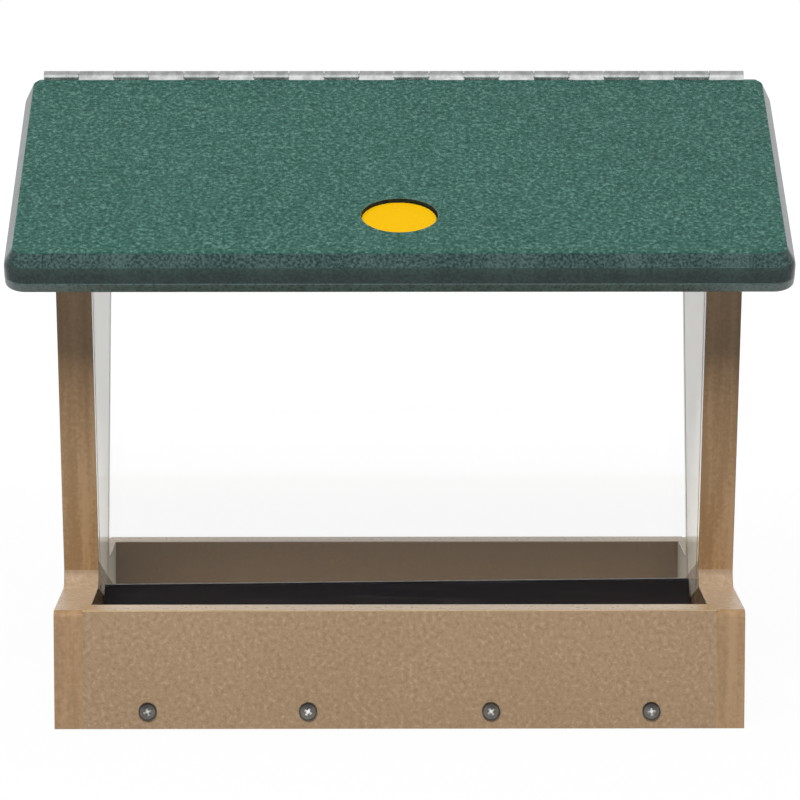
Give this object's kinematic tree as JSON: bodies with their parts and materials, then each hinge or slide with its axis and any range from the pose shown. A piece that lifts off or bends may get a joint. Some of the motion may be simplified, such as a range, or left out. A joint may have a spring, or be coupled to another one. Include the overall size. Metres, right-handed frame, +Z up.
{
  "type": "hopper bird feeder",
  "caption": "Hopper bird feeder in recycled plastic board: gabled end panels, seed tray, clear panes and a pitched roof whose front half lifts on a long ridge hinge.",
  "frame": {"origin": "on the ground, under the middle of the feeder", "axes": "+X along the ridge to the viewer's right, -Y the front with the lid, +Z up"},
  "size_m": [0.3416, 0.2752, 0.2853],
  "materials": {
    "taupe_board": "speckled taupe recycled plastic board",
    "green_board": "speckled green recycled plastic board",
    "clear_pane": "clear sheet",
    "black_sheet": "satin black sheet",
    "yellow_badge": "plain yellow",
    "hinge_metal": "satin mill finish",
    "screw_steel": "stainless steel"
  },
  "bodies": {
    "feeder_body": {"end_panel_left": "taupe_board", "end_panel_right": "taupe_board", "front_rail": "taupe_board", "back_rail": "taupe_board", "floor_board": "taupe_board", "pane_front": "clear_pane", "pane_back": "clear_pane", "seed_diverter": "black_sheet", "roof_panel_back": "green_board", "hinge_leaf_fixed": "hinge_metal", "hinge_pin": "hinge_metal", "hinge_screws_fixed": "screw_steel", "front_rail_screws": "screw_steel", "back_rail_screws": "screw_steel", "end_screws_left": "screw_steel", "end_screws_right": "screw_steel", "roof_screws": "screw_steel"},
    "lid": {"roof_lid": "green_board", "badge": "yellow_badge", "hinge_leaf_lid": "hinge_metal", "hinge_screws_lid": "screw_steel"}
  },
  "joints": [
    {"name": "lid_hinge", "type": "hinge", "parent": "feeder_body", "child": "lid", "pos_m": [-0.0019, 0, 0.28307], "axis": [-1, 0, 0], "range_deg": [0, 230]}
  ]
}
